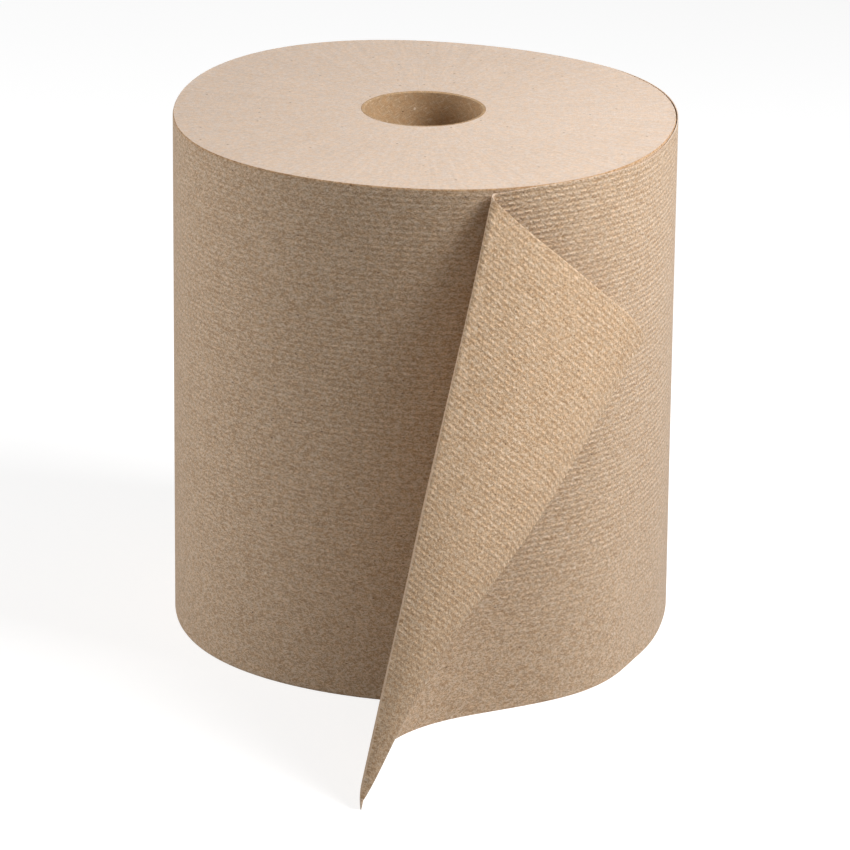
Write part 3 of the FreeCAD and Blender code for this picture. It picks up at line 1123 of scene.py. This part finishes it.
def stage_material(stage):
    """A floor that keeps the roll's shadow and is lifted to white where it is seen."""
    material, wiring, shader = new_material("white floor", 0.9)
    shader.inputs["Base Color"].default_value = (FLOOR_GREY, FLOOR_GREY, FLOOR_GREY, 1.0)
    rays = wiring.add("ShaderNodeLightPath").outputs
    seen = wiring.math("MAXIMUM", rays["Is Camera Ray"], rays["Is Glossy Ray"])
    seen = wiring.math("MAXIMUM", seen, rays["Is Transmission Ray"])
    shader.inputs["Emission Color"].default_value = (1.0, 1.0, 1.0, 1.0)
    wiring.feed(shader.inputs["Emission Strength"], wiring.times(seen, stage.floor_lift))
    return material


def placed(axes):
    """The matrix that sets an object's three axes and its place."""
    return Matrix((*np.stack(axes, axis=1).tolist(), (0.0, 0.0, 0.0, 1.0)))


def add_lamp(name, place, target, size, power):
    """A square lamp that faces a point."""
    lamp = bpy.data.lights.new(name, "AREA")
    lamp.size = size
    lamp.energy = power
    holder = put(name, lamp)
    back = np.array(place) - np.array(target)
    side = np.cross((0.0, 0.0, 1.0), back)
    side, back = side / np.linalg.norm(side), back / np.linalg.norm(back)
    holder.matrix_world = placed([side, np.cross(back, side), back, place])
    return holder


def add_camera():
    """The camera, aimed as the photograph's outline asks."""
    sin_p, cos_p = math.sin(CAMERA_PITCH), math.cos(CAMERA_PITCH)
    sin_y, cos_y = math.sin(CAMERA_YAW), math.cos(CAMERA_YAW)
    ahead = np.array([sin_y * cos_p, cos_y * cos_p, -sin_p])
    right = np.array([cos_y, -sin_y, 0.0])
    above = np.cross(right, ahead)
    sin_r, cos_r = math.sin(CAMERA_ROLL), math.cos(CAMERA_ROLL)
    across, upright = cos_r * right + sin_r * above, cos_r * above - sin_r * right
    camera = bpy.data.cameras.new("camera")
    camera.lens = CAMERA_LENS
    camera.sensor_width = 36.0
    holder = put("camera", camera)
    holder.matrix_world = placed([across, upright, -ahead, CAMERA_PLACE])
    bpy.context.scene.camera = holder


class TOWEL_OT_stage(bpy.types.Operator):
    """Build the floor, the soft lamps, the sky and the camera"""

    bl_idname = "towel.stage"
    bl_label = "Stage"

    def execute(self, context):
        stage = context.scene.towel_stage
        mesh = bpy.data.meshes.new("floor")
        corners = ((-1.0, -1.0), (1.0, -1.0), (1.0, 1.0), (-1.0, 1.0))
        points = [(FLOOR_REACH * x, FLOOR_REACH * y, 0.0) for x, y in corners]
        mesh.from_pydata(points, [], [(0, 1, 2, 3)])
        mesh.materials.append(stage_material(stage))
        floor = put("floor", mesh)
        key = add_lamp("key lamp", KEY_PLACE, STAGE_MIDDLE, KEY_SIZE, stage.key_power)
        fill = add_lamp("fill lamp", FILL_PLACE, STAGE_MIDDLE, FILL_SIZE, stage.fill_power)
        world = bpy.data.worlds.new("sky")
        world.use_nodes = True
        wiring = Wiring(world.node_tree)
        back = world.node_tree.nodes["Background"]
        back.inputs["Color"].default_value = (1.0, 1.0, 1.0, 1.0)
        seen = wiring.add("ShaderNodeLightPath").outputs["Is Camera Ray"]
        wiring.feed(back.inputs["Strength"], wiring.spread(seen, stage.sky_level, 1.0))
        context.scene.world = world
        context.scene.view_settings.view_transform = "Standard"
        add_camera()
        return {"FINISHED"}


class TOWEL_PT_panel(bpy.types.Panel):
    """Lists the roll's pieces and their sizes"""

    bl_label = "Paper Towel Roll"
    bl_idname = "TOWEL_PT_panel"
    bl_space_type = "VIEW_3D"
    bl_region_type = "UI"
    bl_category = "Towel Roll"

    def draw(self, context):
        layout = self.layout
        for operator in OPERATORS:
            layout.operator(operator.bl_idname)
        scene = context.scene
        for group in (scene.towel_sizes, scene.towel_finish, scene.towel_stage):
            box = layout.box()
            for name in group.__annotations__:
                box.prop(group, name)


OPERATORS = (TOWEL_OT_core, TOWEL_OT_web, TOWEL_OT_stage)
CLASSES = (TowelSizes, TowelFinish, TowelStage, *OPERATORS, TOWEL_PT_panel)


def register():
    """Adds the classes and the scene's settings."""
    for item in CLASSES:
        bpy.utils.register_class(item)
    bpy.types.Scene.towel_sizes = PointerProperty(type=TowelSizes)
    bpy.types.Scene.towel_finish = PointerProperty(type=TowelFinish)
    bpy.types.Scene.towel_stage = PointerProperty(type=TowelStage)


def unregister():
    """Takes them away again."""
    for name in ("towel_sizes", "towel_finish", "towel_stage"):
        delattr(bpy.types.Scene, name)
    for item in reversed(CLASSES):
        bpy.utils.unregister_class(item)


def main():
    """Builds every piece and the stage."""
    register()
    bpy.ops.towel.core()
    bpy.ops.towel.web()
    bpy.ops.towel.stage()


if __name__ == "__main__":
    main()
